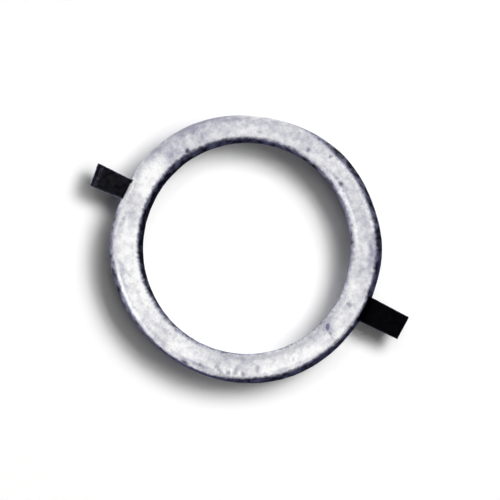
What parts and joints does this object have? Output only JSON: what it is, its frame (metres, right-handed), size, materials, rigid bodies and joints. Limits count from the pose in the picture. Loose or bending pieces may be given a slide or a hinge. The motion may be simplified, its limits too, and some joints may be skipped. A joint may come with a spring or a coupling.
{
  "type": "corona ring",
  "caption": "Round-section corona ring with an open centre and two flat bar lugs, cast into its outside opposite each other, for holding it round a line fitting.",
  "frame": {"origin": "the ring's centre, at half its height, in the middle of the open centre", "axes": "+Z along the ring's axis, away from the surface it lies on; +X out along the middle of the long lug; the short lug points to -X"},
  "size_m": [0.3469, 0.27, 0.03],
  "materials": {
    "ring_casting": "as cast, bright but mottled, with small pits and grey patches",
    "lug_paint": "black paint on flat bar, worn at the edges"
  },
  "bodies": {
    "root": {"ring": "ring_casting", "long_lug": "lug_paint", "short_lug": "lug_paint"}
  },
  "joints": []
}
